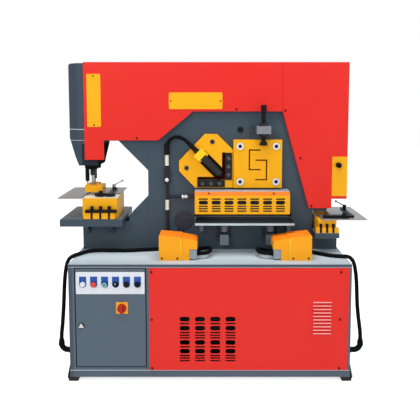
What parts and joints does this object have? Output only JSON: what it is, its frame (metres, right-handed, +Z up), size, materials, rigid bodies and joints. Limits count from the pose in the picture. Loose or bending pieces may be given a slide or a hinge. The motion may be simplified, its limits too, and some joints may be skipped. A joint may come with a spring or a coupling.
{
  "type": "hydraulic ironworker",
  "caption": "C-frame hydraulic ironworker with punch, angle, section and flat-bar shears and notcher on a cabinet with door, controls and foot pedals.",
  "frame": {"origin": "centre of the floor anchor pattern, on the floor", "axes": "+X to the operator's right, +Y away from the operator, +Z up"},
  "size_m": [1.924, 0.855, 1.903],
  "materials": {
    "red_paint": "semi-gloss enamel",
    "slate_paint": "satin enamel",
    "frame_paint": "satin enamel",
    "yellow_paint": "satin enamel",
    "pedal_plastic": "moulded, lightly textured",
    "black_oxide": "blackened steel",
    "ground_steel": "ground steel",
    "black_rubber": "smooth jacket",
    "black_plastic": "moulded",
    "white_plastic": "printed plate",
    "red_plastic": "moulded",
    "green_plastic": "moulded, lit"
  },
  "bodies": {
    "machine": {"front_panel": "red_paint", "left_front_cover": "red_paint", "right_front_cover": "red_paint", "rear_cover": "red_paint", "base_cabinet": "slate_paint", "cylinder_housing": "slate_paint", "punch_nose": "slate_paint", "front_frame_plate": "frame_paint", "rear_frame_plate": "frame_paint", "frame_spacers": "frame_paint", "work_tables": "frame_paint", "table_supports": "frame_paint", "pivot_pin": "frame_paint", "access_plates": "yellow_paint", "die_bolsters": "yellow_paint", "angle_plate": "yellow_paint", "section_plate": "yellow_paint", "shear_guard": "yellow_paint", "left_pedal_hood": "pedal_plastic", "right_pedal_hood": "pedal_plastic", "anchor_feet": "black_oxide", "bolster_clamps": "black_oxide", "cover_screws": "black_oxide", "fixed_blades": "black_oxide", "hold_down_cylinder": "black_oxide", "hydraulic_line": "black_oxide", "punch_die": "ground_steel", "gauge_plates": "ground_steel", "hold_down_bracket": "ground_steel", "shear_cylinder": "ground_steel", "shear_table": "ground_steel", "inner_equipment": "ground_steel", "hydraulic_hose": "black_rubber", "left_cord": "black_rubber", "right_cord": "black_rubber", "cable_glands": "black_plastic"},
    "punch_ram": {"punch_ram": "black_oxide", "punch": "ground_steel"},
    "stripper": {"stripper": "yellow_paint"},
    "punch_fence": {"punch_fence": "black_oxide"},
    "punch_fence_lever": {"punch_fence_lever": "black_oxide"},
    "notch_fence": {"notch_fence": "black_oxide"},
    "notch_fence_lever": {"notch_fence_lever": "black_oxide"},
    "rocker_beam": {"shear_beam": "frame_paint", "beam_blades": "ground_steel", "notch_punch": "black_oxide"},
    "shear_rod": {"shear_rod": "ground_steel"},
    "hold_down_rod": {"hold_down_rod": "ground_steel"},
    "hold_down_screw": {"hold_down_screw": "black_oxide"},
    "left_treadle": {"left_treadle": "black_oxide"},
    "right_treadle": {"right_treadle": "black_oxide"},
    "door": {"cabinet_door": "slate_paint", "control_plates": "white_plastic"},
    "door_lock": {"door_lock": "ground_steel"},
    "red_button": {"red_button": "red_plastic"},
    "green_button": {"green_button": "green_plastic"},
    "mode_selector": {"mode_selector": "black_plastic"},
    "left_black_button": {"left_black_button": "black_plastic"},
    "right_black_button": {"right_black_button": "black_plastic"},
    "main_switch": {"main_switch": "red_plastic"}
  },
  "joints": [
    {"name": "punch_slide", "type": "slide", "parent": "machine", "child": "punch_ram", "axis": [0, 0, -1], "range_m": [0, 0.06]},
    {"name": "stripper_slide", "type": "slide", "parent": "machine", "child": "stripper", "axis": [0, 0, 1], "range_m": [0, 0.025]},
    {"name": "punch_fence_slide", "type": "slide", "parent": "machine", "child": "punch_fence", "axis": [0, 1, 0], "range_m": [-0.025, 0.025]},
    {"name": "punch_fence_lever_turn", "type": "hinge", "parent": "punch_fence", "child": "punch_fence_lever", "pos_m": [-0.645, 0.07, 1.09], "axis": [0, 0, 1], "range_deg": [0, 90]},
    {"name": "notch_fence_slide", "type": "slide", "parent": "machine", "child": "notch_fence", "axis": [0, 1, 0], "range_m": [-0.025, 0.025]},
    {"name": "notch_fence_lever_turn", "type": "hinge", "parent": "notch_fence", "child": "notch_fence_lever", "pos_m": [0.9, 0.045, 0.955], "axis": [0, 0, 1], "range_deg": [0, 90]},
    {"name": "beam_rock", "type": "hinge", "parent": "machine", "child": "rocker_beam", "pos_m": [-0.169, 0, 0.9], "axis": [0, 1, 0], "range_deg": [0, 4]},
    {"name": "shear_rod_slide", "type": "slide", "parent": "machine", "child": "shear_rod", "axis": [0, 0, -1], "range_m": [0, 0.0535]},
    {"name": "hold_down_slide", "type": "slide", "parent": "machine", "child": "hold_down_rod", "axis": [0.7071, 0, -0.7071], "range_m": [0, 0.016]},
    {"name": "hold_down_screw_slide", "type": "slide", "parent": "machine", "child": "hold_down_screw", "axis": [0, 0, 1], "range_m": [-0.06, 0.025]},
    {"name": "left_treadle_tilt", "type": "hinge", "parent": "machine", "child": "left_treadle", "pos_m": [-0.201, -0.27, 0.75], "axis": [0, -1, 0], "range_deg": [0, 10], "stiffness_Nm_per_rad": 20, "springref_deg": -5.73},
    {"name": "right_treadle_tilt", "type": "hinge", "parent": "machine", "child": "right_treadle", "pos_m": [0.504, -0.27, 0.75], "axis": [0, 1, 0], "range_deg": [0, 10], "stiffness_Nm_per_rad": 20, "springref_deg": -5.73},
    {"name": "door_swing", "type": "hinge", "parent": "machine", "child": "door", "pos_m": [-0.389, -0.399, 0.3875], "axis": [0, 0, 1], "range_deg": [0, 95]},
    {"name": "lock_turn", "type": "hinge", "parent": "door", "child": "door_lock", "pos_m": [-0.758, -0.41, 0.34], "axis": [0, 1, 0], "range_deg": [0, 90]},
    {"name": "red_button_push", "type": "slide", "parent": "door", "child": "red_button", "axis": [0, 1, 0], "range_m": [0, 0.004], "stiffness_N_per_m": 800, "springref_m": -0.002},
    {"name": "green_button_push", "type": "slide", "parent": "door", "child": "green_button", "axis": [0, 1, 0], "range_m": [0, 0.004], "stiffness_N_per_m": 800, "springref_m": -0.002},
    {"name": "selector_turn", "type": "hinge", "parent": "door", "child": "mode_selector", "pos_m": [-0.552, -0.415, 0.593], "axis": [0, 1, 0], "range_deg": [-45, 45]},
    {"name": "left_black_button_push", "type": "slide", "parent": "door", "child": "left_black_button", "axis": [0, 1, 0], "range_m": [0, 0.004], "stiffness_N_per_m": 800, "springref_m": -0.002},
    {"name": "right_black_button_push", "type": "slide", "parent": "door", "child": "right_black_button", "axis": [0, 1, 0], "range_m": [0, 0.004], "stiffness_N_per_m": 800, "springref_m": -0.002},
    {"name": "main_switch_turn", "type": "hinge", "parent": "door", "child": "main_switch", "pos_m": [-0.517, -0.413, 0.449], "axis": [0, 1, 0], "range_deg": [0, 90]}
  ],
  "couplings": [
    {"joint": "shear_rod_slide", "follows": "beam_rock", "m_per_rad": 0.7612}
  ]
}
